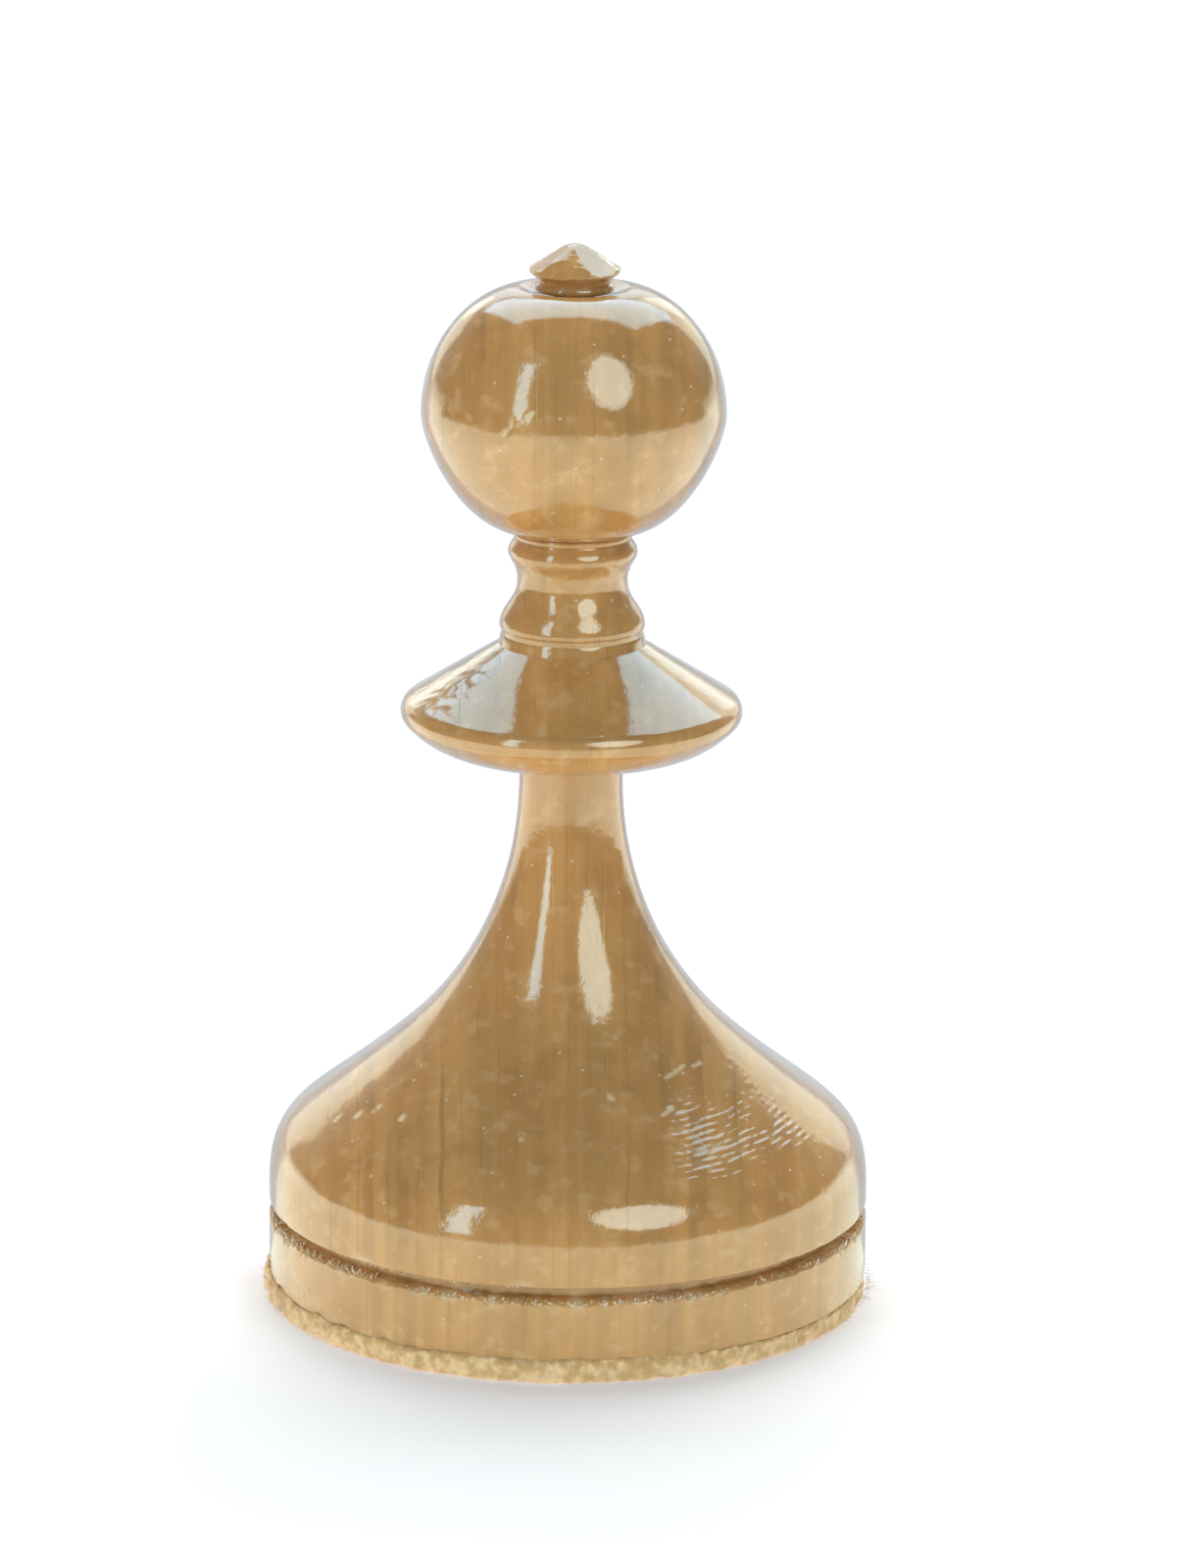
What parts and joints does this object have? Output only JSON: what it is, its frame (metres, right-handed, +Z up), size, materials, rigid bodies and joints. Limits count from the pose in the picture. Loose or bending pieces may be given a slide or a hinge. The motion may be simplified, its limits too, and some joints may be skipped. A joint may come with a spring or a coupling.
{
  "type": "chess pawn",
  "caption": "Turned wooden chess pawn with a conical finial, flattened ball head, flared neck, wide collar, bell-shaped body and weighted, felted base.",
  "frame": {"origin": "centre of the felt's underside, where the pawn stands", "axes": "+Z up along the turning axis, towards the finial; X and Y are alike"},
  "size_m": [0.0286, 0.0286, 0.0497],
  "materials": {
    "lacquered_wood": "caramel brown, gloss lacquer",
    "felt": "tan wool felt, matt",
    "weight_steel": "bare sawn bar",
    "dowel_wood": "bare, unpolished"
  },
  "bodies": {
    "root": {"finial": "lacquered_wood", "head": "lacquered_wood", "neck": "lacquered_wood", "collar": "lacquered_wood", "body": "lacquered_wood", "plinth": "lacquered_wood", "felt_pad": "felt", "weight": "weight_steel", "centre_dowel": "dowel_wood"}
  },
  "joints": []
}
